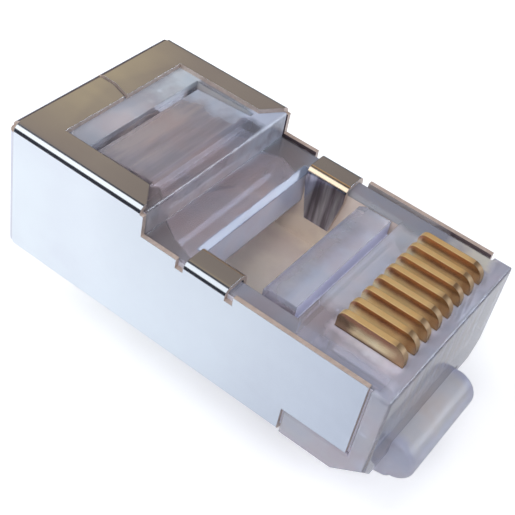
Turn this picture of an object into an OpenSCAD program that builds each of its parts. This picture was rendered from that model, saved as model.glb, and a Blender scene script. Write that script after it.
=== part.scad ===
// Shielded eight-position modular plug, as supplied before it is crimped onto a cable.
// The origin is the centre of the cable entry, on the rear face of the moulding.
// +Y runs from the cable end to the nose and +Z points to the contact side. Millimetres.

/* [Shield] */
// Width across the folded shield
shield_w = 11.68; // [11.4:0.02:12]
// Height of the shield round the cable end
shield_h = 7.92; // [7.8:0.02:8.4]
// Thickness of the sheet
sheet_t = 0.25; // [0.2:0.01:0.3]
// Outside radius of every fold
fold_r = 0.42; // [0.38:0.02:0.5]
// Height of the lip turned in at the cable end, beyond its fold
lip_h = 0.3; // [0.1:0.02:0.36]
// Front edge of the band across the cable end
band_y = 2.05; // [1.6:0.05:2.6]
// Width of the rails beside the top window
rail_w = 1.55; // [1.2:0.05:1.7]
// Distance from the rail ends to the step
rail_gap = 0.2; // [0.1:0.05:0.6]
// How much further back the rails end at their inner edges
rail_slant = 0.8; // [0.4:0.05:1]
// Gap of the butt seam in the band
seam_gap = 0.18; // [0.1:0.02:0.24]
// Distance of the seam from the middle, to the left
seam_x = 0.3; // [0:0.05:0.5]
// Sideways lean of the seam's front half
seam_lean = 0.4; // [0.1:0.05:0.5]
// Height of the side panels above the deck
panel_rise = 0.15; // [0:0.01:0.2]
// Front ends of the side panels
panel_y = 20.9; // [19.5:0.05:21.2]
// Front edge of the bottom panel
base_y = 17.35; // [16:0.05:18]
// Height of the side panels' lower edge in front of the bottom panel
toe_h = 1.7; // [1.2:0.05:2.2]
// Width of the cut-out under the latch
cut_w = 7.4; // [6.8:0.1:8]
// Length of the cut-out under the latch
cut_l = 6; // [4:0.1:7]
// Gap between the moulding's shoe and the edges of the sheet
nest_gap = 0.1; // [0.05:0.01:0.2]

/* [Shield tabs] */
// Distance of the tabs in front of the wire window's rear wall
tab_gap = 0.05; // [0.02:0.01:0.2]
// Length of the tabs along the plug
tab_l = 2.4; // [1.8:0.05:2.6]
// Depth of the tabs below the deck
tab_leg = 2.9; // [1.5:0.05:3.2]
// Narrowing of the tab at each side of its end
tab_taper = 0.45; // [0.1:0.05:0.8]
// Width of the relief notches beside the tabs
relief_w = 0.45; // [0.3:0.05:0.6]
// Depth of the relief notches beside the tabs
relief_d = 0.5; // [0.3:0.05:0.8]

/* [Housing] */
// Length of the moulding from its rear face to its nose
body_l = 22.05; // [21.8:0.05:23]
// Where the top steps down to the contact deck
step_y = 8.3; // [7.9:0.05:8.8]
// Height of the contact deck above the underside
deck_h = 5.9; // [5.7:0.05:6.1]
// Lead-in cut on the lower corners of the nose, across the plug
nose_cut_w = 1.1; // [0.5:0.05:1.4]
// Lead-in cut on the lower corners of the nose, along the plug
nose_cut_l = 1.8; // [0.8:0.05:2.2]
// Lead-in cut on the lower corners of the nose, upwards
nose_cut_h = 1.3; // [0.6:0.05:1.6]

/* [Cable chamber] */
// Diameter of the cable entry
cable_d = 6.2; // [6.05:0.05:6.4]
// Length of the entry behind the jacket grip
entry_l = 3.4; // [3:0.05:3.6]
// Diameter of the chamber under the jacket grip, a little tighter than the entry
chamber_d = 5.85; // [5.6:0.05:5.85]
// Where the entry starts to narrow towards the wires
funnel_y = 6.2; // [5.8:0.05:6.5]
// Length of the narrowing
funnel_l = 3; // [2.5:0.05:3.3]
// Width of the wire chamber
wire_w = 8.8; // [8.6:0.05:9]
// Thickness of the floor under the wire chamber
floor_t = 1.35; // [1:0.05:1.6]
// Thickness of the deck over the wire chamber
roof_t = 0.7; // [0.5:0.05:0.9]

/* [Jacket grip] */
// Length of the grip window
grip_l = 3.75; // [3.4:0.05:3.9]
// Width of the grip window
grip_w = 8.2; // [7.6:0.05:8.4]
// Depth of the ledges beside the grip bar
grip_ledge = 2.1; // [1.8:0.05:2.4]
// Depth of the grip bar's tooth
grip_drop = 1.5; // [1.2:0.05:1.55]
// Thickness of the web that the grip bar folds on
grip_web = 0.5; // [0.3:0.05:0.7]
// Gap at the ends and the free edge of both bars
bar_gap = 0.3; // [0.2:0.02:0.4]

/* [Wire grip] */
// Rear wall of the wire window
wire_y = 10.8; // [10.6:0.05:11.4]
// Open length of the wire window, up to the wire bar
wire_l = 3.35; // [2.8:0.05:3.4]
// Slope on the rear edge of the wire window
wire_ease = 0.28; // [0.1:0.02:0.4]
// Length of the wire bar
bar_l = 2.25; // [1.8:0.05:2.3]
// Depth of the wire bar's tooth
bar_drop = 1.9; // [1.5:0.05:2.2]
// Length of the groove that the wire bar folds along
groove_l = 0.4; // [0.3:0.05:0.6]
// Depth of the groove that the wire bar folds along
groove_d = 0.85; // [0.6:0.05:1]
// Thickness of the web that the wire bar folds on
bar_web = 0.55; // [0.35:0.05:0.6]

/* [Contacts] */
// Distance from contact to contact
pitch = 1.02; // [1:0.01:1.03]
// Thickness of a contact
contact_t = 0.35; // [0.3:0.01:0.4]
// Distance of the contacts' front edge behind the nose
contact_inset = 0.7; // [0.55:0.05:0.9]
// Length of a contact
contact_l = 3.55; // [3.3:0.05:3.6]
// Height of the contacts above the deck before crimping
contact_rise = 0.95; // [0.6:0.05:1.1]
// Height of a contact from its tines to its top edge
contact_h = 3.75; // [3.4:0.05:3.8]
// Radius of the front corner, which the mating springs ride over
contact_nose_r = 0.7; // [0.4:0.05:0.9]
// Radius of the rear corner
contact_heel_r = 0.4; // [0.1:0.05:0.5]
// Length of the piercing tines
tine_l = 0.8; // [0.5:0.05:1]
// Clearance of a contact in its slot
slot_fit = 0.01; // [0:0.01:0.03]
// Diameter of a conductor channel
channel_d = 0.92; // [0.85:0.01:0.95]
// Height of the conductor channels above the underside
channel_h = 2.35; // [2.1:0.05:2.4]
// Length of the slope into the channels
lead_l = 0.7; // [0.4:0.05:0.9]

/* [Latch] */
// Radius of the rolled root
latch_r = 1.2; // [1:0.05:1.25]
// Distance of the root's axis in front of the nose
root_out = 0.25; // [0.1:0.05:0.4]
// Distance of the root's axis below the underside
root_drop = 0.5; // [0.45:0.01:0.65]
// Width over the locking shoulders
latch_w = 6.4; // [5.9:0.05:6.6]
// Width of the finger tongue
tongue_w = 3.2; // [2.8:0.05:3.3]
// Length from the root's axis to the locking shoulders
shoulder_l = 8.1; // [7.5:0.05:8.5]
// Length from the root's axis to the tip
latch_l = 14.8; // [13.5:0.1:15.5]
// Thickness of the arm at its root
latch_t = 1; // [0.8:0.05:1.1]
// Thickness of the tongue at its tip
tip_t = 0.75; // [0.6:0.05:0.9]
// Depth of the shoulders below the tongue
catch_h = 0.35; // [0.1:0.05:0.6]
// Angle of the free latch below the body
latch_angle = 10; // [8:0.5:12]
// Radius of the latch's corners
latch_edge_r = 0.3; // [0.1:0.05:0.4]
// Running clearance of the root in its seat
root_run = 0.05; // [0.03:0.01:0.1]

/* [Hidden] */
$fn = 48;

positions = 8;
tines = 3;
// Room between the fold's inner radius and the edge of the moulding
fold_room = 0.05;
// How far the funnel starts inside the wall of the round chamber
funnel_step = 0.15;
// Overlap that joins solids and carries a cut past a face
over = 0.2;

fold_in_r = fold_r - sheet_t;
edge_r = fold_in_r + fold_room;
body_w = shield_w - 2 * sheet_t;
body_h = shield_h - 2 * sheet_t;
floor_z = -body_h / 2;
shoe_z = -shield_h / 2;
deck_z = floor_z + deck_h;
panel_z = deck_z + panel_rise;
toe_z = shoe_z + toe_h;
cable_r = cable_d / 2;
chamber_r = chamber_d / 2;
funnel_r = chamber_r - funnel_step;
roof_z = deck_z - roof_t;
chamber_z = floor_z + floor_t;
channel_z = floor_z + channel_h;
bar_y = wire_y + wire_l;
tab_y = wire_y + tab_gap;
chamber_y = bar_y + bar_l;
grip_y = entry_l + grip_l;
contact_z = deck_z + contact_rise;
contact_front = body_l - contact_inset;
contact_y = contact_front - contact_l;
comb_w = (positions - 1) * pitch + channel_d;
root_y = body_l + root_out;
root_z = floor_z - root_drop;

function contact_x(i) = (i - (positions + 1) / 2) * pitch;

// Extrudes an XZ section along Y, from y to y + l
module along_y(y, l)
  translate([0, y + l, 0])
    rotate([90, 0, 0])
      linear_extrude(l)
        children();

// Extrudes a YZ profile over the width w, centred on x
module across_x(w, x = 0)
  translate([x - w / 2, 0, 0])
    rotate([90, 0, 90])
      linear_extrude(w)
        children();

// Extrudes an XY plan from z upwards
module up_z(z, h)
  translate([0, 0, z])
    linear_extrude(h)
      children();

module rounded_rect(w, h, r) {
  square([w - 2 * r, h], center = true);
  square([w, h - 2 * r], center = true);
  for (sx = [-1, 1], sy = [-1, 1])
    translate([sx * (w / 2 - r), sy * (h / 2 - r)])
      circle(r);
}

// Block with every edge rounded, starting at y = 0 and centred on X and Z
module rounded_block(w, l, h, r)
  intersection() {
    along_y(0, l) rounded_rect(w, h, r);
    across_x(w) translate([l / 2, 0]) rounded_rect(l, h, r);
    up_z(-h / 2, h) translate([0, l / 2]) rounded_rect(w, l, r);
  }

// What a rounded corner takes off a square one at the origin
module corner_waste(r)
  translate([-r, -r])
    difference() {
      square(r + over);
      circle(r);
    }

// Section from x0 to x1 and z0 to z1 with its upper corners rounded
module arch(x0, x1, z0, z1, r) {
  translate([x0, z0]) square([x1 - x0, z1 - r - z0]);
  translate([x0 + r, z0]) square([x1 - x0 - 2 * r, z1 - z0]);
  for (x = [x0 + r, x1 - r])
    translate([x, z1 - r])
      circle(r);
}

// Housing: one clear moulding with its two grip bars, contact comb and latch seat
module outer_block() {
  rounded_block(body_w, step_y, body_h, edge_r);
  translate([0, 0, floor_z + deck_h / 2])
    rounded_block(body_w, body_l, deck_h, edge_r);
  shoe_block(base_y + nest_gap, toe_z - nest_gap);
  shoe_block(panel_y + nest_gap, deck_z);
}

// Part of the nose that is flush with the outside of the shield, from y to the front and up to z
module shoe_block(y, z)
  translate([0, y, (shoe_z + z) / 2])
    rounded_block(shield_w, body_l - y, z - shoe_z, edge_r);

module cable_entry()
  rotate([-90, 0, 0]) {
    translate([0, 0, -over])
      cylinder(r = cable_r, h = entry_l + over);
    cylinder(r = chamber_r, h = funnel_y + over);
  }

module grip_window()
  up_z(body_h / 2 - grip_ledge, grip_ledge + over)
    translate([-grip_w / 2, entry_l])
      square([grip_w, grip_l]);

module wire_chamber()
  intersection() {
    across_x(body_w)
      polygon([
        [funnel_y, -funnel_r],
        [funnel_y, funnel_r],
        [funnel_y + funnel_l, roof_z],
        [chamber_y, roof_z],
        [chamber_y, channel_z + channel_d],
        [chamber_y + lead_l, channel_z + channel_d / 2],
        [chamber_y + lead_l, channel_z - channel_d / 2],
        [chamber_y - lead_l, chamber_z],
        [funnel_y + funnel_l, chamber_z]
      ]);
    up_z(-body_h / 2, body_h)
      for (s = [-1, 1])
        polygon([
          [0, funnel_y],
          [s * funnel_r, funnel_y],
          [s * wire_w / 2, funnel_y + funnel_l],
          [s * wire_w / 2, chamber_y],
          [s * comb_w / 2, chamber_y + lead_l],
          [0, chamber_y + lead_l]
        ]);
  }

// Opening in the deck over the wire chamber, with its rear edge sloped for the wires
// and its side edges eased for the shield tabs
module wire_window() {
  across_x(wire_w)
    polygon([
      [wire_y - wire_ease, deck_z],
      [wire_y, deck_z - wire_ease],
      [bar_y, deck_z - wire_ease],
      [bar_y, deck_z + over],
      [wire_y - wire_ease, deck_z + over]
    ]);
  along_y(wire_y, chamber_y - wire_y) {
    translate([-wire_w / 2, roof_z - over])
      square([wire_w, roof_t + 2 * over]);
    for (s = [-1, 1])
      polygon([
        [s * wire_w / 2, deck_z - edge_r],
        [s * (wire_w / 2 + edge_r), deck_z],
        [s * (wire_w / 2 + edge_r), deck_z + over],
        [s * wire_w / 2, deck_z + over]
      ]);
  }
}

module contact_slots()
  for (i = [1:positions])
    translate([contact_x(i), 0, 0]) {
      across_x(contact_t + 2 * slot_fit)
        translate([contact_y - slot_fit, channel_z])
          square([contact_l + 2 * slot_fit, deck_z + over - channel_z]);
      translate([0, chamber_y, channel_z])
        rotate([-90, 0, 0])
          cylinder(d = channel_d, h = contact_front - chamber_y);
    }

module latch_seat()
  translate([0, root_y, root_z])
    rotate([0, 90, 0])
      cylinder(r = latch_r + root_run, h = latch_w + 2 * root_run, center = true);

// Planes that cut the lower corners of the nose at the three given distances
module nose_corners() {
  nx = 1 / nose_cut_w;
  ny = 1 / nose_cut_l;
  nz = 1 / nose_cut_h;
  for (s = [0, 1])
    mirror([s, 0, 0])
      translate([shield_w / 2, body_l, shoe_z])
        rotate([0, atan2(nz, norm([nx, ny])), atan2(ny, nx)])
          translate([-1 / norm([nx, ny, nz]), -shield_w / 2, -shield_w / 2])
            cube(shield_w);
}

// Bar that the crimp tool folds down onto the cable jacket
module grip_bar() {
  top = body_h / 2;
  free = entry_l + bar_gap;
  across_x(grip_w - 2 * bar_gap)
    polygon([
      [free, top - grip_web / 2],
      [grip_y, top],
      [grip_y + over, top],
      [grip_y + over, top - grip_web],
      [grip_y, top - grip_web],
      [grip_y - grip_web, top - 2 * grip_web],
      [free + grip_drop, top - grip_drop],
      [free, top - 2 * grip_web]
    ]);
}

// Bar that the crimp tool folds down onto the fanned-out wires
module wire_bar()
  across_x(wire_w - 2 * bar_gap)
    polygon([
      [bar_y, deck_z - groove_l / 2],
      [bar_y + groove_l, deck_z],
      [chamber_y - groove_l, deck_z],
      [chamber_y - groove_l, deck_z - groove_d],
      [chamber_y + over, deck_z - groove_d],
      [chamber_y + over, deck_z - groove_d - bar_web],
      [chamber_y - groove_l, deck_z - groove_d - bar_web],
      [bar_y + bar_l / 2, deck_z - bar_drop],
      [bar_y, deck_z - groove_d]
    ]);

module housing()
  color([0.72, 0.74, 0.82]) {
    difference() {
      outer_block();
      cable_entry();
      grip_window();
      wire_chamber();
      wire_window();
      contact_slots();
      latch_seat();
      nose_corners();
    }
    grip_bar();
    wire_bar();
  }

// Shield: one plated sheet, folded round the moulding and butted in the rear band
module sleeve()
  along_y(fold_in_r, panel_y - fold_in_r)
    difference() {
      rounded_rect(shield_w, shield_h, fold_r);
      rounded_rect(body_w, body_h, fold_in_r);
    }

// Removes what lies above the deck in front of the step, and the top sheet ahead of the rails
module front_cut() {
  translate([-shield_w, step_y, panel_z])
    cube([2 * shield_w, body_l, shield_h]);
  translate([-shield_w, step_y - rail_gap, shield_h / 2 - fold_r])
    cube([2 * shield_w, body_l, shield_h]);
}

// Opening between the rails, up to their slanted ends
module top_window() {
  inner = shield_w / 2 - rail_w;
  rail_end = step_y - rail_gap;
  up_z(body_h / 2 - over, sheet_t + 2 * over)
    for (s = [-1, 1])
      polygon([
        [0, band_y],
        [s * inner, band_y],
        [s * inner, rail_end - rail_slant],
        [s * (shield_w / 2 - fold_r), rail_end],
        [s * (shield_w / 2 - fold_r), step_y],
        [0, step_y]
      ]);
}

// Butt seam through the lip and the band, leaning sideways from the middle of the band
module seam()
  up_z(shield_h / 2 - fold_r - lip_h - over, shield_h)
    translate([-seam_x - seam_gap / 2, 0])
      polygon([
        [0, -fold_r],
        [seam_gap, -fold_r],
        [seam_gap, band_y / 2],
        [seam_gap + seam_lean, band_y + over],
        [seam_lean, band_y + over],
        [0, band_y / 2]
      ]);

// Removes the bottom panel and the lower edges of the side panels at the nose
module toe_cut()
  translate([-shield_w, base_y, -shield_h])
    cube([2 * shield_w, body_l, shield_h / 2 + toe_h]);

module latch_cut()
  up_z(-shield_h / 2 - over, sheet_t + 2 * over)
    translate([0, base_y - cut_l / 2 + fold_r])
      rounded_rect(cut_w, cut_l + 2 * fold_r, fold_r);

// Clears the panels' upper edges for the tabs and the relief notches beside them
module tab_reliefs()
  translate([-shield_w, tab_y - relief_w, panel_z - relief_d])
    cube([2 * shield_w, tab_l + 2 * relief_w, shield_h]);

// Lip along one side of the cable end, at the distance d from the axis
module rear_lip(d, l)
  across_x(l - 2 * fold_r)
    translate([fold_in_r, d - fold_r]) {
      intersection() {
        difference() {
          circle(fold_r);
          circle(fold_in_r);
        }
        translate([-fold_r, 0]) square(fold_r);
      }
      translate([-fold_r, -lip_h]) square([sheet_t, lip_h]);
    }

module rear_lips() {
  for (a = [0, 180])
    rotate([0, a, 0])
      rear_lip(shield_h / 2, shield_w);
  for (a = [90, 270])
    rotate([0, a, 0])
      rear_lip(shield_w / 2, shield_h);
}

// Tab folded over the side wall and down into the wire window
module tab()
  intersection() {
    along_y(tab_y, tab_l)
      difference() {
        arch(wire_w / 2 - sheet_t, shield_w / 2, deck_z - tab_leg, deck_z + sheet_t, fold_r);
        arch(wire_w / 2, body_w / 2, deck_z - tab_leg - over, deck_z, fold_in_r);
      }
    across_x(2 * shield_w)
      polygon([
        [tab_y, deck_z + sheet_t],
        [tab_y + tab_l, deck_z + sheet_t],
        [tab_y + tab_l, deck_z - roof_t],
        [tab_y + tab_l - tab_taper, deck_z - tab_leg],
        [tab_y + tab_taper, deck_z - tab_leg],
        [tab_y, deck_z - roof_t]
      ]);
  }

module shield()
  color([0.82, 0.84, 0.88]) {
    difference() {
      sleeve();
      front_cut();
      top_window();
      toe_cut();
      latch_cut();
      tab_reliefs();
      seam();
    }
    difference() {
      rear_lips();
      seam();
    }
    for (s = [0, 1])
      mirror([s, 0, 0])
        tab();
  }

// Contact: stamped blade that stands proud of the comb until it is crimped
module contact(i) {
  tine_w = contact_l / tines;
  color([0.79, 0.64, 0.36])
    translate([contact_x(i), 0, 0])
      across_x(contact_t)
        difference() {
          translate([contact_y, contact_z - contact_h])
            square([contact_l, contact_h]);
          translate([contact_front, contact_z])
            corner_waste(contact_nose_r);
          translate([contact_y, contact_z])
            mirror([1, 0])
              corner_waste(contact_heel_r);
          for (k = [0:tines])
            translate([contact_y + k * tine_w, contact_z - contact_h])
              polygon([[-tine_w / 2, 0], [tine_w / 2, 0], [0, tine_l]]);
        }
}

// Latch: rolled root, wide locking part and finger tongue, flexing about the root's axis
module latch_root()
  rotate([0, 90, 0])
    rotate_extrude()
      intersection() {
        rounded_rect(2 * latch_r, latch_w, latch_edge_r);
        translate([0, -latch_w / 2]) square([latch_r, latch_w]);
      }

module latch_arm() {
  up = latch_t - latch_r;
  intersection() {
    across_x(latch_w)
      polygon([
        [0, -latch_r],
        [0, up],
        [-shoulder_l, up],
        [-shoulder_l, -latch_r - catch_h]
      ]);
    up_z(-2 * latch_r, 2 * latch_r)
      translate([0, -shoulder_l / 2])
        rounded_rect(latch_w, shoulder_l, latch_edge_r);
  }
  intersection() {
    across_x(tongue_w)
      polygon([
        [0, -latch_r],
        [0, up],
        [-latch_l, tip_t - latch_r],
        [-latch_l, -latch_r]
      ]);
    up_z(-2 * latch_r, 2 * latch_r)
      translate([0, -latch_l / 2])
        rounded_rect(tongue_w, latch_l, tongue_w / 4);
  }
}

module latch()
  color([0.72, 0.74, 0.82])
    translate([0, root_y, root_z])
      rotate([latch_angle, 0, 0]) {
        latch_root();
        latch_arm();
      }

housing();
shield();
latch();
for (i = [1:positions])
  contact(i);
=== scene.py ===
"""Looks of the shielded ethernet plug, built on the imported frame.

The scene is in metres, in the CAD frame. Masks, bumps and soft edges take millimetres.
"""
import math

import bmesh
import bpy
from mathutils import Matrix, Vector
from mathutils.bvhtree import BVHTree


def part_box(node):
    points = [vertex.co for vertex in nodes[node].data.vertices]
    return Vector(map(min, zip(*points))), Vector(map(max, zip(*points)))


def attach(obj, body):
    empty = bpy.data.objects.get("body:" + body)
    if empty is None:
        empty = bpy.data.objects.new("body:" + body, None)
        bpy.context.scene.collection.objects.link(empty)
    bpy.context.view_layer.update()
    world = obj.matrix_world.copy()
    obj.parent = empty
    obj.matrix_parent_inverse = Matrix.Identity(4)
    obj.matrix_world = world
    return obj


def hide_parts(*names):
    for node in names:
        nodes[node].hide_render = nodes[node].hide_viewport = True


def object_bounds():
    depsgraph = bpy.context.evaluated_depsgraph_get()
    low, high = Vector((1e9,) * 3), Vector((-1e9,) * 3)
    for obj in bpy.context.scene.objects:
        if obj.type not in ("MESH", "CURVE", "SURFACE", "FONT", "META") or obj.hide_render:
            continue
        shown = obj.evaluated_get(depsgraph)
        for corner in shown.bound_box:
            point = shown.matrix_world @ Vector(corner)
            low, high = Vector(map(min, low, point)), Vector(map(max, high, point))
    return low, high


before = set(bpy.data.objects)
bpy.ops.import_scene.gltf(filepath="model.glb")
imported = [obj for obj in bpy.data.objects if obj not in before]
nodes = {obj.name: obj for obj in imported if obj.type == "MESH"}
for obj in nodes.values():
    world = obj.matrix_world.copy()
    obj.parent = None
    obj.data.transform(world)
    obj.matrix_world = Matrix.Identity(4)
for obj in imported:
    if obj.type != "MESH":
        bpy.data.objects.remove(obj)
cad_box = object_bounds()
MM = 0.001
CONTACTS = sorted(n for n in nodes if n.startswith("contact_"))


# Node helpers

NOISE_ROUGHNESS = 0.55
NOISE_RANGE = (0.25, 0.75)          # values that a noise mostly keeps to
TONE_STOPS = (0.3, 0.7)             # noise values of a dark and a light tone
CLOUD_STOPS = (0.38, 0.5, 0.62)     # noise values of a cool, a plain and a warm cloud
CLOUD_SCALE = 420
EDGE_SAMPLES = 6
# Sockets of a Mix node: its factor, then two inputs and the output for colours and for values
MIX_FACTOR = 0
MIX_COLOUR = (6, 7, 2)
MIX_VALUE = (2, 3, 0)


def feed(tree, node, inputs):
    """Joins each input to another node's output, or sets it to a constant."""
    for key, value in inputs.items():
        if isinstance(value, bpy.types.NodeSocket):
            tree.links.new(value, node.inputs[key])
        else:
            node.inputs[key].default_value = value


def add(tree, kind, inputs=None, **values):
    node = tree.nodes.new(kind)
    for key, value in values.items():
        setattr(node, key, value)
    feed(tree, node, inputs or {})
    return node


def maths(tree, operation, *values):
    node = add(tree, "ShaderNodeMath", dict(enumerate(values)), operation=operation)
    return node.outputs[0]


def noise(tree, scale, stretch=(1, 1, 1), detail=3):
    """Noise in the plug's own coordinates, with its scale to the metre."""
    place = add(tree, "ShaderNodeTexCoord").outputs["Object"]
    scaled = add(tree, "ShaderNodeMapping",
                 {"Vector": place, "Scale": [scale * s for s in stretch]})
    node = add(tree, "ShaderNodeTexNoise",
               {"Vector": scaled.outputs["Vector"], "Scale": 1.0,
                "Detail": detail, "Roughness": NOISE_ROUGHNESS})
    return node.outputs["Fac"]


def ramp(tree, fac, stops):
    node = add(tree, "ShaderNodeValToRGB", {"Fac": fac})
    elements = node.color_ramp.elements
    while len(elements) < len(stops):
        elements.new(0.5)
    for element, (position, colour) in zip(elements, stops):
        element.position = position
        element.color = (*colour, 1)
    return node.outputs["Color"]


def tones(tree, fac, dark, light):
    return ramp(tree, fac, list(zip(TONE_STOPS, (dark, light))))


def span(tree, fac, low, high, start=NOISE_RANGE[0], end=NOISE_RANGE[1]):
    """From low to high while fac goes from start to end."""
    node = add(tree, "ShaderNodeMapRange",
               {"Value": fac, "From Min": start, "From Max": end, "To Min": low, "To Max": high})
    return node.outputs["Result"]


def soft_edge(tree, radius):
    node = add(tree, "ShaderNodeBevel", {"Radius": radius * MM}, samples=EDGE_SAMPLES)
    return node.outputs["Normal"]


def bump(tree, height, strength, depth, normal=None):
    node = add(tree, "ShaderNodeBump",
               {"Strength": strength, "Distance": depth * MM, "Height": height})
    if normal is not None:
        feed(tree, node, {"Normal": normal})
    return node.outputs["Normal"]


def blend(tree, fac, a, b, how="MIX"):
    first, second, result = MIX_COLOUR
    node = add(tree, "ShaderNodeMix", {MIX_FACTOR: fac, first: a, second: b},
               data_type="RGBA", blend_type=how)
    return node.outputs[result]


def blend_value(tree, fac, a, b):
    first, second, result = MIX_VALUE
    node = add(tree, "ShaderNodeMix", {MIX_FACTOR: fac, first: a, second: b}, data_type="FLOAT")
    return node.outputs[result]


def mottled(tree, colour, cool, warm):
    """The colour with pale cool and warm clouds in it."""
    stops = list(zip(CLOUD_STOPS, (cool, (1, 1, 1), warm)))
    clouds = ramp(tree, noise(tree, CLOUD_SCALE, detail=2), stops)
    return blend(tree, 1.0, colour, clouds, "MULTIPLY")


def along(tree, axis, start, end, wobble, reach):
    """From 0 to 1 along an axis, with an uneven front. Axis |X| is the same on both sides."""
    coordinates = add(tree, "ShaderNodeTexCoord").outputs["Object"]
    place = add(tree, "ShaderNodeSeparateXYZ", {0: coordinates}).outputs[axis.strip("|")]
    if axis == "|X|":
        place = maths(tree, "ABSOLUTE", place)
    shift = span(tree, wobble, -reach * MM, reach * MM)
    return span(tree, maths(tree, "ADD", place, shift), 0, 1, start * MM, end * MM)


def patch(tree, wobble, edges):
    """Mask of a part of the plug. Each edge is an axis and the two places it fades in between."""
    mask = None
    for axis, start, end in edges:
        side = along(tree, axis, start, end, wobble, abs(end - start) * 0.5)
        mask = side if mask is None else maths(tree, "MULTIPLY", mask, side)
    return mask


def new_material(name):
    mat = bpy.data.materials.new(name)
    mat.use_nodes = True
    return mat, mat.node_tree


def shade(mat, inputs):
    feed(mat.node_tree, mat.node_tree.nodes["Principled BSDF"], inputs)
    return mat


# Clear moulding

POLYCARBONATE_IOR = 1.585

# Edges that several patches share
DECK = ("Z", 1.9, 2.1)
REAR_STRIP = [("Y", 3.6, 3.4), ("Z", 3.3, 3.5)]
GRIP_BAR = [("Y", 3.5, 3.7), ("Y", 7.0, 6.8), ("Z", 2.9, 3.1), ("|X|", 4.0, 3.9)]
BLOCK_TOP = [("Y", 8.4, 8.3), ("Z", 3.4, 3.6)]
BLOCK_FRONT = [("Y", 6.9, 7.1)] + BLOCK_TOP
STEP_WALL = [("Y", 8.1, 8.2), ("Y", 8.5, 8.4), ("Z", 2.2, 2.3)]
WIRE_WINDOW = ("|X|", 4.5, 4.4)
CONTACT_STRIP = [("Y", 16.2, 16.4), ("Y", 18.0, 17.6), DECK]

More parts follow.
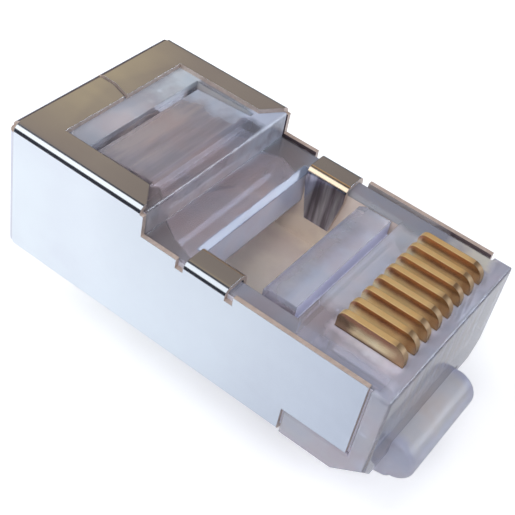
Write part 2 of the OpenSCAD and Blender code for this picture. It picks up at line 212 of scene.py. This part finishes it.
# Painted light and shade on parts of the moulding, which make them paler, bluer or darker: edges,
# a dark and a light tone, and how clear they are
PAINTED_LIGHT_PATCHES = [
    # far side, with painted light that makes it bluer
    ([("X", -0.5, -4.5)], (0.72, 0.77, 0.91), (0.80, 0.85, 0.98), 0.72),
    # strip behind the grip bar, with painted shade, and its far end, with a painted highlight
    (REAR_STRIP, (0.70, 0.72, 0.83), (0.79, 0.81, 0.92), 0.62),
    (REAR_STRIP + [("X", -1.0, -3.5)], (0.80, 0.88, 0.99), (0.88, 0.95, 1.0), 0.45),
    # grip bar, with painted shade, its far end, with a painted highlight, and the far wall of its
    # window, with painted light
    (GRIP_BAR, (0.61, 0.58, 0.66), (0.70, 0.67, 0.75), 0.76),
    (GRIP_BAR + [("X", -2.2, -3.5)], (0.60, 0.66, 0.79), (0.69, 0.75, 0.88), 0.50),
    ([("Y", 3.4, 3.6), ("Y", 7.1, 6.9), ("Z", 2.5, 2.9), ("Z", 3.7, 3.6),
      ("X", -4.0, -4.06), ("X", -4.3, -4.2)],
     (0.72, 0.72, 0.76), (0.82, 0.82, 0.86), 0.35),
    # top in front of the grip bar and its far half, with painted shade, and its far corner, with a
    # painted highlight
    (BLOCK_FRONT, (0.56, 0.50, 0.57), (0.66, 0.60, 0.67), 0.80),
    (BLOCK_FRONT + [("X", -0.5, -1.8)], (0.40, 0.42, 0.54), (0.50, 0.52, 0.64), 0.78),
    (BLOCK_TOP + [("Y", 6.6, 6.9), ("X", -3.2, -3.9)],
     (0.64, 0.68, 0.84), (0.74, 0.78, 0.94), 0.40),
    # wall of the step, with painted light, and its far end, with a painted highlight
    (STEP_WALL + [("Z", 3.65, 3.5)], (0.86, 0.83, 0.91), (0.94, 0.91, 0.98), 0.62),
    (STEP_WALL + [("X", -1.5, -4.0)], (0.75, 0.78, 0.94), (0.84, 0.87, 1.0), 0.40),
    # rear of the deck, with painted shade that makes it darker and browner
    ([("Y", 8.3, 8.5), ("Y", 10.7, 10.4), DECK], (0.55, 0.50, 0.56), (0.64, 0.59, 0.65), 0.74),
    # sloped edge of the wire window, with a painted highlight, and the wall under it, with painted
    # light
    ([("Y", 10.45, 10.55), ("Y", 10.9, 10.82), ("Z", 1.84, 1.9), WIRE_WINDOW],
     (0.55, 0.66, 0.95), (0.65, 0.76, 1.0), 0.66),
    ([("Y", 10.65, 10.72), ("Y", 10.95, 10.88), ("Z", 1.9, 1.84), WIRE_WINDOW],
     (0.74, 0.77, 0.95), (0.83, 0.86, 1.0), 0.30),
    # strips of the deck beside the side panels, with painted light
    ([("|X|", 4.5, 4.7), ("Y", 10.0, 11.0), DECK], (0.70, 0.70, 0.85), (0.79, 0.79, 0.94), 0.72),
    # front edge of the wire bar, with a painted highlight
    ([("Y", 14.0, 15.6), ("Y", 16.2, 16.1), ("|X|", 4.3, 4.1), ("Z", 1.8, 2.0)],
     (0.74, 0.79, 0.96), (0.82, 0.88, 1.0), 0.66),
    # deck between the wire bar and the contacts, with painted light, and its near end, with
    # painted shade
    (CONTACT_STRIP + [("|X|", 4.4, 4.0)], (0.78, 0.80, 0.94), (0.88, 0.90, 1.0), 0.60),
    (CONTACT_STRIP + [("X", 2.2, 3.2), ("X", 4.8, 4.6)],
     (0.60, 0.57, 0.65), (0.69, 0.66, 0.74), 0.70),
    # front end of the strip beside the far side panel, with warm painted light
    ([("X", -4.4, -4.6), ("Y", 18.6, 20.0), ("Y", 21.4, 21.0), DECK],
     (0.94, 0.87, 0.76), (1.0, 0.95, 0.86), 0.50),
    # comb round the contacts, with painted light, and what lies between them, with a painted
    # reflection of the gold
    ([("Y", 17.5, 18.0), ("Y", 21.6, 21.1), ("|X|", 4.4, 3.8)],
     (0.64, 0.62, 0.74), (0.74, 0.72, 0.84), 0.25),
    ([("Y", 17.9, 18.1), ("Y", 21.3, 21.1), ("|X|", 3.8, 3.65)],
     (0.86, 0.72, 0.58), (0.96, 0.82, 0.68), 0.25),
    # sides of the nose and the toe, with painted light
    ([("|X|", 5.5, 5.7), ("Y", 17.0, 17.4)], (0.78, 0.79, 0.96), (0.90, 0.91, 1.0), 0.58),
    # strip of the deck in front of the contacts, with painted light
    ([("Y", 21.3, 21.6), DECK], (0.70, 0.71, 0.85), (0.80, 0.81, 0.94), 0.64),
    # front face, with painted shade
    ([("Y", 21.92, 22.0)], (0.42, 0.415, 0.50), (0.51, 0.505, 0.59), 0.66),
]


def clear_plastic():
    """Polished outside, hazier at the nose, with painted light and shade on parts of it."""
    mat, t = new_material("clear_polycarbonate")
    cloud = noise(t, 180, detail=2)
    ragged = noise(t, 800)
    nose = along(t, "Y", 14, 20, noise(t, 300), 3)
    colour = blend(t, nose,
                   tones(t, cloud, (0.77, 0.74, 0.85), (0.85, 0.82, 0.92)),
                   tones(t, cloud, (0.74, 0.73, 0.87), (0.85, 0.84, 0.96)))
    through = span(t, nose, 0.76, 0.66, 0, 1)
    # painted light and shade of each patch laid over the colour
    for edges, dark, light, clarity in PAINTED_LIGHT_PATCHES:
        mask = patch(t, ragged, edges)
        colour = blend(t, mask, colour, tones(t, cloud, dark, light))
        through = blend_value(t, mask, through, clarity)
    return shade(mat, {
        "Base Color": mottled(t, colour, (0.93, 0.97, 1.0), (1.0, 0.94, 0.92)),
        "Roughness": span(t, noise(t, 900, detail=4), 0.05, 0.14),
        "Normal": bump(t, noise(t, 500, detail=2), 0.08, 0.02, soft_edge(t, 0.10)),
        "Transmission Weight": through,
        "IOR": POLYCARBONATE_IOR,
    })


def frosted_plastic():
    """Matt wire chamber, with painted light: pale parts low on its walls and on its floor."""
    mat, t = new_material("frosted_polycarbonate")
    cloud = noise(t, 260)
    ragged = noise(t, 800)
    # pale tone: painted light, low on the walls and on the far side of the floor
    pale = tones(t, cloud, (1.0, 0.87, 0.75), (1.0, 0.93, 0.84))
    colour = tones(t, cloud, (0.80, 0.67, 0.61), (0.95, 0.84, 0.77))
    for edges in ([("|X|", 3.6, 4.3), ("Z", -0.5, -1.1)],
                  [("X", -3.2, -0.5), ("Z", -2.2, -2.3)]):
        colour = blend(t, patch(t, ragged, edges), colour, pale)
    return shade(mat, {
        "Base Color": colour,
        "Roughness": span(t, noise(t, 1500, detail=4), 0.35, 0.55),
        "Normal": bump(t, noise(t, 2600, detail=4), 0.2, 0.02),
        "Transmission Weight": 0.15,
        "IOR": POLYCARBONATE_IOR,
    })


def backed_plastic():
    """Faces under the shield, and faces in the groove in front of the wire bar, where the pale
    colour is painted light against the groove's shade.
    """
    mat, t = new_material("backed_polycarbonate")
    return shade(mat, {
        "Base Color": tones(t, noise(t, 260), (0.70, 0.71, 0.85), (0.82, 0.83, 0.97)),
        "Roughness": span(t, noise(t, 1500, detail=4), 0.30, 0.45),
        "Normal": bump(t, noise(t, 2600, detail=4), 0.15, 0.02),
        "Transmission Weight": 0.1,
        "IOR": POLYCARBONATE_IOR,
    })


def streaked_plastic():
    """Cable chamber, with dark and pale streaks across it: painted shade and painted reflections,
    as seen through the clear top.
    """
    mat, t = new_material("streaked_polycarbonate")
    painted_streaks = noise(t, 850, (0.12, 1, 0.6))
    stops = [(0.36, (0.20, 0.165, 0.185)), (0.5, (0.44, 0.385, 0.39)), (0.64, (0.88, 0.72, 0.58))]
    return shade(mat, {
        "Base Color": ramp(t, painted_streaks, stops),
        "Roughness": span(t, painted_streaks, 0.30, 0.50),
        "Normal": bump(t, painted_streaks, 0.2, 0.03),
        "Transmission Weight": 0.2,
        "IOR": POLYCARBONATE_IOR,
    })


def milky_plastic():
    """Latch, with painted shade at both ends of its root and a warm painted highlight on top."""
    mat, t = new_material("milky_polycarbonate")
    cloud = noise(t, 200)
    ragged = noise(t, 800)
    colour = tones(t, cloud, (0.82, 0.82, 0.94), (0.93, 0.92, 1.0))
    shaded_root_ends = tones(t, cloud, (0.66, 0.67, 0.82), (0.76, 0.77, 0.92))
    warm = tones(t, cloud, (0.86, 0.82, 0.81), (0.97, 0.93, 0.90))
    # painted shade at both ends of the root, and a warm painted highlight on top
    colour = blend(t, patch(t, ragged, [("|X|", 2.0, 3.1)]), colour, shaded_root_ends)
    colour = blend(t, patch(t, ragged, [("|X|", 2.9, 2.3), ("Z", -3.7, -3.3)]), colour, warm)
    return shade(mat, {
        "Base Color": mottled(t, colour, (0.93, 0.97, 1.0), (1.0, 0.95, 0.90)),
        "Roughness": span(t, noise(t, 900, detail=4), 0.30, 0.42),
        "Normal": bump(t, noise(t, 500, detail=2), 0.08, 0.02, soft_edge(t, 0.12)),
        "Transmission Weight": 0.62,
        "IOR": POLYCARBONATE_IOR,
    })


# Plated sheet

ROLLED = (1, 0.04, 1)       # stretch of the rolling marks, which run along the plug


def plated_sheet():
    """Bright outside, with painted shade: darker to the front, standing for a dimmer reflection
    there.
    """
    mat, t = new_material("bright_nickel_plate")
    cloud = noise(t, 240, detail=5)
    rolled = noise(t, 900, ROLLED, detail=5)
    wave = bump(t, noise(t, 170, (1, 0.6, 1), detail=1), 0.45, 0.05, soft_edge(t, 0.04))
    return shade(mat, {
        # painted shade: the colour darkens to the front
        "Base Color": blend(t, along(t, "Y", 5, 20, noise(t, 120), 3),
                            tones(t, cloud, (0.77, 0.82, 0.89), (0.84, 0.91, 0.96)),
                            tones(t, cloud, (0.43, 0.47, 0.55), (0.52, 0.565, 0.645))),
        "Roughness": span(t, rolled, 0.10, 0.20),
        "Normal": bump(t, rolled, 0.05, 0.01, wave),
        "Metallic": 1.0,
    })


def sheet_fold(name, dark, light):
    mat, t = new_material(name)
    cloud = noise(t, 600, (1, 1, 0.3), detail=4)
    return shade(mat, {
        "Base Color": tones(t, cloud, dark, light),
        "Roughness": span(t, cloud, 0.18, 0.26),
        "Normal": bump(t, cloud, 0.1, 0.01),
        "Metallic": 1.0,
    })


def sheet_inside():
    """Dull inside, with painted shade along its rim in front and at the rear."""
    mat, t = new_material("dull_sheet_inside")
    cloud = noise(t, 300, detail=4)
    ragged = noise(t, 1500, detail=2)
    rolled = noise(t, 900, ROLLED, detail=5)
    colour = tones(t, cloud, (0.78, 0.72, 0.68), (0.90, 0.84, 0.80))
    # painted shade along the rim, in front and at the rear
    painted_shade_tone = tones(t, cloud, (0.18, 0.14, 0.16), (0.30, 0.24, 0.26))
    for end in (("Y", 17.6, 18.8), ("Y", 11.2, 10.4)):
        colour = blend(t, patch(t, ragged, [("Z", 2.05, 2.15), end]), colour, painted_shade_tone)
    return shade(mat, {
        "Base Color": colour,
        "Roughness": span(t, rolled, 0.45, 0.65),
        "Normal": bump(t, rolled, 0.1, 0.01),
        "Metallic": 1.0,
    })


def shaded_leg_sheet():
    """Faces of the tabs in the wire window, with painted shade and painted reflections in dark and
    light streaks.
    """
    mat, t = new_material("tab_face_painted_shade")
    streak = noise(t, 2200, (1, 1, 0.08))
    return shade(mat, {
        "Base Color": ramp(t, streak, [(0.40, (0.21, 0.195, 0.235)), (0.62, (0.62, 0.64, 0.73))]),
        "Roughness": span(t, streak, 0.16, 0.26),
        "Normal": bump(t, streak, 0.25, 0.02),
        "Metallic": 1.0,
    })


def cut_edge():
    mat, t = new_material("cut_sheet_edge")
    grain = noise(t, 5000, detail=4)
    return shade(mat, {
        "Base Color": tones(t, grain, (0.55, 0.45, 0.40), (0.70, 0.59, 0.53)),
        "Roughness": span(t, grain, 0.30, 0.50),
        "Normal": bump(t, grain, 0.3, 0.01),
        "Metallic": 0.5,
    })


# Contacts

# front ends of the contacts, with painted shade where their rounded corners show dark reflections
PAINTED_SHADE_FRONT = ("Y", 20.4, 20.9)
PAINTED_SHADE_REACH = 0.1


def gold_plate():
    mat, t = new_material("gold_plate")
    cloud = noise(t, 1200, detail=4)
    shear = noise(t, 2500, (1, 0.15, 1), detail=4)
    # painted shade on the front ends
    front = along(t, *PAINTED_SHADE_FRONT, noise(t, 1500, detail=2), PAINTED_SHADE_REACH)
    return shade(mat, {
        "Base Color": blend(t, front,
                            tones(t, cloud, (0.93, 0.63, 0.28), (0.98, 0.72, 0.36)),
                            tones(t, cloud, (0.50, 0.33, 0.18), (0.66, 0.47, 0.28))),
        "Roughness": span(t, shear, 0.29, 0.40),
        "Normal": bump(t, shear, 0.15, 0.01, soft_edge(t, 0.06)),
        "Metallic": 0.7,
    })


def shaded_tip():
    mat, t = new_material("contact_tip_painted_shade")
    # dark colour: painted shade on the rounded tips
    cloud = noise(t, 1800, detail=4)
    return shade(mat, {
        "Base Color": tones(t, cloud, (0.34, 0.22, 0.13), (0.52, 0.37, 0.22)),
        "Roughness": span(t, cloud, 0.42, 0.58),
        "Normal": bump(t, cloud, 0.15, 0.01, soft_edge(t, 0.05)),
        "Metallic": 1.0,
    })


def bronze():
    """Flat sides: flash-plated, with painted shade near the top, at the foot, at the nearest heel
    and at the front.
    """
    mat, t = new_material("flashed_bronze")
    cloud = noise(t, 1100, detail=4)
    ragged = noise(t, 1500, detail=2)
    grain = noise(t, 2200, (1, 0.2, 1), detail=4)
    colour = tones(t, cloud, (0.97, 0.77, 0.44), (1.0, 0.88, 0.56))
    # tones of the painted shade near the top, at the foot and heel, and at the front
    shaded_top_tone = tones(t, cloud, (0.55, 0.27, 0.17), (0.69, 0.37, 0.24))
    painted_shade_tone = tones(t, cloud, (0.20, 0.13, 0.09), (0.34, 0.23, 0.15))
    dull = tones(t, cloud, (0.44, 0.28, 0.16), (0.60, 0.42, 0.25))
    heel = [("Y", 18.9, 18.4), ("X", 3.5, 3.7), ("Z", 3.05, 2.85)]
    # painted shade near the top
    colour = blend(t, along(t, "Z", 2.65, 2.95, ragged, 0.05), colour, shaded_top_tone)
    # painted shade at the foot
    colour = blend(t, along(t, "Z", 2.42, 2.22, ragged, 0.05), colour, painted_shade_tone)
    # painted shade at the nearest heel
    colour = blend(t, patch(t, ragged, heel), colour, painted_shade_tone)
    # painted shade at the front
    colour = blend(t, along(t, *PAINTED_SHADE_FRONT, ragged, PAINTED_SHADE_REACH), colour, dull)
    return shade(mat, {
        "Base Color": colour,
        "Roughness": span(t, grain, 0.12, 0.22),
        "Normal": bump(t, grain, 0.12, 0.01),
        "Metallic": 0.9,
    })


# Pieces. The zones of each are numbered in the order of its materials.

HOUSING_POLISHED, HOUSING_CHAMBER, HOUSING_BACKED, HOUSING_BORE = range(4)
SHEET_OUTSIDE, SHEET_CUT, SHEET_INSIDE, SHEET_SHADED_LEG, SHEET_REAR_FOLD, SHEET_TAB_FOLD = range(6)
BLADE_EDGE, BLADE_SIDE, BLADE_TIP = range(3)

MERGE_DISTANCE = 1e-7
SMOOTH_ANGLE = math.radians(28)
RAY_OFFSET, RAY_LENGTH = 1e-6, 0.05
TOLERANCE = 0.01 * MM

# Least part of a normal along an axis
FACING = 0.9
LEANING = 0.05
TAB_LEANING = 0.15
TIP_LEANING = 0.2
ROOF_LEANING = 0.3

CUT_DEPTH = 0.4 * MM        # more solid than this behind a face of the sheet: a cut edge
REAR_LIP_Y = 0.15 * MM
TOP_FOLD_Z = 1.5 * MM
CHAMBER_X = 4.45 * MM
CHAMBER_Y = (6.3 * MM, 17 * MM)
CHAMBER_Z = (-2.6 * MM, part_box("housing")[1][2] - 2.2 * MM)
GROOVE_X = 4.5 * MM
GROOVE_Y = (15.95 * MM, 16.5 * MM)
GROOVE_Z = (0, 2.1 * MM)
WINDOW_WALL_Y = 10.8 * MM
WINDOW_WALL_REACH = 0.1 * MM
WINDOW_ROOF_Z = 1.49 * MM
WINDOW_WALL_FOOT_Z = 0.05 * MM
COVERED_X = (5.5 * MM, 5.7 * MM)
COVERED_Z = (-3.75 * MM, -3.65 * MM)
BORE_RADIUS = 3.2 * MM


def within(value, limits):
    return limits[0] < value < limits[1]


def lower_window_wall(bm):
    """Makes the rear wall of the wire window as tall as in the photo."""
    for v in bm.verts:
        on_wall = abs(v.co.y - WINDOW_WALL_Y) < TOLERANCE
        if on_wall and abs(v.co.z - WINDOW_ROOF_Z) < TOLERANCE:
            v.co.z = WINDOW_WALL_FOOT_Z


def housing_zone(c, n):
    # the groove takes the pale backed material: painted light against its shade
    if abs(c.x) < GROOVE_X and within(c.y, GROOVE_Y) and within(c.z, GROOVE_Z):
        return HOUSING_BACKED
    chamber = abs(c.x) < CHAMBER_X and within(c.y, CHAMBER_Y) and within(c.z, CHAMBER_Z)
    window_wall = n.y > FACING and abs(c.y - WINDOW_WALL_Y) < WINDOW_WALL_REACH
    if chamber and n.z > -ROOF_LEANING and not window_wall:
        return HOUSING_CHAMBER
    if abs(n.x) > FACING and within(abs(c.x), COVERED_X):
        return HOUSING_BACKED
    if n.z < -FACING and within(c.z, COVERED_Z):
        return HOUSING_BACKED
    if c.y < CHAMBER_Y[0] and math.hypot(c.x, c.z) < BORE_RADIUS and abs(n.y) < FACING:
        return HOUSING_BORE
    return HOUSING_POLISHED


def housing_zones(bm):
    return [housing_zone(f.calc_center_median(), f.normal) for f in bm.faces]


def wall_thickness(tree, c, n):
    """Depth of solid behind a face, which tells a sheet's cut edges from its two sides."""
    place, _, _, distance = tree.ray_cast(c - n * RAY_OFFSET, -n, RAY_LENGTH)
    return RAY_LENGTH if place is None else distance


def sheet_zone(tree, c, n):
    top_fold = c.z > TOP_FOLD_Z and n.z > LEANING
    if wall_thickness(tree, c, n) > CUT_DEPTH:
        return SHEET_CUT
    if c.y < REAR_LIP_Y and n.y < -LEANING:
        return SHEET_REAR_FOLD
    if abs(c.x) < CHAMBER_X and abs(n.x) > FACING:
        return SHEET_SHADED_LEG
    if top_fold and n.x * c.x < 0 and abs(n.x) > TAB_LEANING:
        return SHEET_TAB_FOLD
    if n.x * c.x + n.z * c.z < 0 and abs(n.y) < FACING and not top_fold:
        return SHEET_INSIDE
    return SHEET_OUTSIDE


def sheet_zones(bm):
    tree = BVHTree.FromBMesh(bm)
    return [sheet_zone(tree, f.calc_center_median(), f.normal) for f in bm.faces]


def blade_zone(n):
    if abs(n.x) > FACING:
        return BLADE_SIDE
    return BLADE_TIP if n.y > TIP_LEANING else BLADE_EDGE


def blade_zones(bm):
    return [blade_zone(f.normal) for f in bm.faces]


def one_zone(bm):
    return [0] * len(bm.faces)


def dress(node, body, mats, zones, reshape=None):
    """A closed copy of a CAD node with merged vertices and smooth curved faces, in its place."""
    me = nodes[node].data.copy()
    me.name = node + "_mesh"
    me.materials.clear()
    for m in mats:
        me.materials.append(m)
    bm = bmesh.new()
    bm.from_mesh(me)
    bmesh.ops.remove_doubles(bm, verts=bm.verts, dist=MERGE_DISTANCE)
    bmesh.ops.recalc_face_normals(bm, faces=bm.faces)
    if reshape:
        reshape(bm)
    bm.normal_update()
    for f, zone in zip(bm.faces, zones(bm)):
        f.material_index = zone
        f.smooth = True
    for e in bm.edges:
        e.smooth = len(e.link_faces) == 2 and e.calc_face_angle(0) < SMOOTH_ANGLE
    bm.to_mesh(me)
    bm.free()
    ob = bpy.data.objects.new(node + "_look", me)
    bpy.context.scene.collection.objects.link(ob)
    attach(ob, body)
    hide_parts(node)


plastics = [clear_plastic(), frosted_plastic(), backed_plastic(), streaked_plastic()]
sheets = [
    plated_sheet(),
    cut_edge(),
    sheet_inside(),
    shaded_leg_sheet(),
    # rear fold, with painted shade
    sheet_fold("rear_fold_painted_shade", (0.62, 0.63, 0.72), (0.71, 0.73, 0.82)),
    # tab folds, tinted warm for a painted warm highlight
    sheet_fold("tab_fold_painted_highlight", (0.90, 0.72, 0.52), (1.0, 0.86, 0.68)),
]
platings = [gold_plate(), bronze(), shaded_tip()]

dress("housing", "plug", plastics, housing_zones, lower_window_wall)
dress("latch", "latch", [milky_plastic()], one_zone)
dress("shield", "plug", sheets, sheet_zones)
for name in CONTACTS:
    dress(name, "plug", platings, blade_zones)


# Stage

FLOOR_X = (-0.2, 0.024)
FLOOR_Y = (-0.12, 0.15)
FLOOR_Z = cad_box[0][2] - 0.02 * MM
FLOOR_GLOW = 0.3            # as the camera sees it
FLOOR_GLOW_BOUNCED = 0.06   # as metal and clear plastic show it

SKY = (0.42, 0.43, 0.46)
# Colour and direction of each patch of the sky, and the two angles that it fades out between
SKY_PATCHES = [
    ((0.05, 0.05, 0.06), (0.05, -0.34, 0.94), 10, 26),      # dark ceiling
    ((0.295, 0.232, 0.19), (-0.75, -0.34, 0.60), 34, 44),   # warm wall on the far side
    ((0.50, 0.38, 0.24), (-0.42, -0.34, 0.84), 1, 8),       # two warm gleams on it
    ((0.48, 0.37, 0.24), (-0.63, -0.58, 0.52), 1, 8),
    ((1.25, 1.25, 1.25), (0.70, -0.34, 0.62), 30, 36),      # white panel on the near side
]
LOW_SKY = (0.04, 0.04, 0.05)
LOW_SKY_HEIGHT = (0.36, 0.26)       # heights of a direction that it fades in between
BRIGHT_SPOT = ((5.5, 6.0, 6.8), (-0.65, 0.684, 0.36), 8, 12)

COOL_WHITE = (0.88, 0.93, 1.0)
WARM_WHITE = (1.0, 0.94, 0.88)
# Place, aim, width, watts and colour of each lamp
LAMPS = {
    "key": ((0.06, -0.075, 0.12), (0, 0.002, 0), 0.09, 0.07, COOL_WHITE),
    "fill": ((0.06, 0.22, 0.26), (0, 0.011, 0), 0.20, 0.16, COOL_WHITE),
    "top": ((-0.04, 0.0, 0.30), (0, 0.011, 0), 0.18, 0.17, COOL_WHITE),
    "side": ((0.15, 0.04, 0.12), (-0.004, 0.011, 0), 0.06, 0.08, WARM_WHITE),
}


def floor_material():
    """Pale floor that keeps the shadow and is clear from below."""
    mat, t = new_material("studio_floor")
    ray = add(t, "ShaderNodeLightPath")
    bounced = maths(t, "MAXIMUM", ray.outputs["Is Glossy Ray"], ray.outputs["Is Transmission Ray"])
    faint = maths(t, "MULTIPLY", bounced, FLOOR_GLOW_BOUNCED)
    glow = maths(t, "MULTIPLY_ADD", ray.outputs["Is Camera Ray"], FLOOR_GLOW, faint)
    shade(mat, {
        "Base Color": tones(t, noise(t, 8, detail=2), (0.90, 0.91, 0.93), (0.93, 0.94, 0.95)),
        "Roughness": 0.8,
        "Specular IOR Level": 0.1,
        "Emission Color": (1, 1, 1, 1),
        "Emission Strength": glow,
    })
    below = add(t, "ShaderNodeNewGeometry").outputs["Backfacing"]
    solid = t.nodes["Principled BSDF"].outputs[0]
    clear = add(t, "ShaderNodeBsdfTransparent").outputs[0]
    either = add(t, "ShaderNodeMixShader", {0: below, 1: solid, 2: clear})
    feed(t, t.nodes["Material Output"], {"Surface": either.outputs[0]})
    return mat


def build_floor():
    me = bpy.data.meshes.new("floor_mesh")
    bm = bmesh.new()
    (x0, x1), (y0, y1) = FLOOR_X, FLOOR_Y
    corners = ((x0, y0, 0), (x1, y0, 0), (x1, y1, 0), (x0, y1, 0))
    bm.faces.new([bm.verts.new(v) for v in corners])
    bm.to_mesh(me)
    bm.free()
    ob = bpy.data.objects.new("studio_floor", me)
    ob.location = (0, 0, FLOOR_Z)
    me.materials.append(floor_material())
    bpy.context.scene.collection.objects.link(ob)


def build_world():
    """Light and dark patches for the reflections, and plain white for the camera."""
    world = bpy.data.worlds.new("studio")
    bpy.context.scene.world = world
    world.use_nodes = True
    t = world.node_tree
    t.nodes.clear()
    direction = add(t, "ShaderNodeTexCoord").outputs["Generated"]

    def fade(value, start, end):
        node = add(t, "ShaderNodeMapRange", {"Value": value, "From Min": start, "From Max": end},
                   interpolation_type="SMOOTHSTEP")
        return node.outputs["Result"]

    def cone(towards, inner, outer):
        node = add(t, "ShaderNodeVectorMath", {0: direction, 1: Vector(towards).normalized()},
                   operation="DOT_PRODUCT")
        return fade(node.outputs["Value"],
                    math.cos(math.radians(outer)), math.cos(math.radians(inner)))

    sky = (*SKY, 1)
    for colour, towards, inner, outer in SKY_PATCHES:
        sky = blend(t, cone(towards, inner, outer), sky, (*colour, 1))
    height = add(t, "ShaderNodeSeparateXYZ", {0: direction}).outputs["Z"]
    sky = blend(t, fade(height, *LOW_SKY_HEIGHT), sky, (*LOW_SKY, 1))
    colour, towards, inner, outer = BRIGHT_SPOT
    sky = blend(t, cone(towards, inner, outer), sky, (*colour, 1))

    seen = add(t, "ShaderNodeLightPath").outputs["Is Camera Ray"]
    lit = add(t, "ShaderNodeBackground", {"Color": sky}).outputs[0]
    white = add(t, "ShaderNodeBackground", {"Color": (1, 1, 1, 1)}).outputs[0]
    either = add(t, "ShaderNodeMixShader", {0: seen, 1: lit, 2: white})
    add(t, "ShaderNodeOutputWorld", {"Surface": either.outputs[0]})


def add_lamp(name, place, aim, size, watts, colour):
    data = bpy.data.lights.new(name, "AREA")
    data.shape = "DISK"
    data.size = size
    data.energy = watts
    data.color = colour
    ob = bpy.data.objects.new(name, data)
    ob.location = place
    ob.rotation_euler = (Vector(aim) - Vector(place)).to_track_quat("-Z", "Y").to_euler()
    ob.visible_camera = False
    ob.visible_glossy = False
    bpy.context.scene.collection.objects.link(ob)


build_floor()
build_world()
for name, values in LAMPS.items():
    add_lamp(name, *values)


# Camera, fitted to corners of the plug in the photo

PHOTO_WIDTH = 515
FOCAL_LENGTH = 1075.07      # in pixels of the photo
SENSOR_WIDTH = 36
CAMERA_PLACE = Vector((34.846, 29.673, 36.096)) * MM
RIGHT = Vector((-0.588869, 0.791644, 0.162891))
DOWN = Vector((0.486189, 0.507962, -0.711052))
AHEAD = Vector((-0.645642, -0.339521, -0.684012))

cam_data = bpy.data.cameras.new("camera")
cam_data.sensor_fit = "HORIZONTAL"
cam_data.sensor_width = SENSOR_WIDTH
cam_data.lens = SENSOR_WIDTH * FOCAL_LENGTH / PHOTO_WIDTH
cam_data.clip_start = 1 * MM
cam = bpy.data.objects.new("camera", cam_data)
bpy.context.scene.collection.objects.link(cam)
axes = Matrix((RIGHT, -DOWN, -AHEAD)).transposed().to_4x4()
cam.matrix_world = Matrix.Translation(CAMERA_PLACE) @ axes
bpy.context.scene.camera = cam
bpy.context.scene.view_settings.view_transform = "Standard"
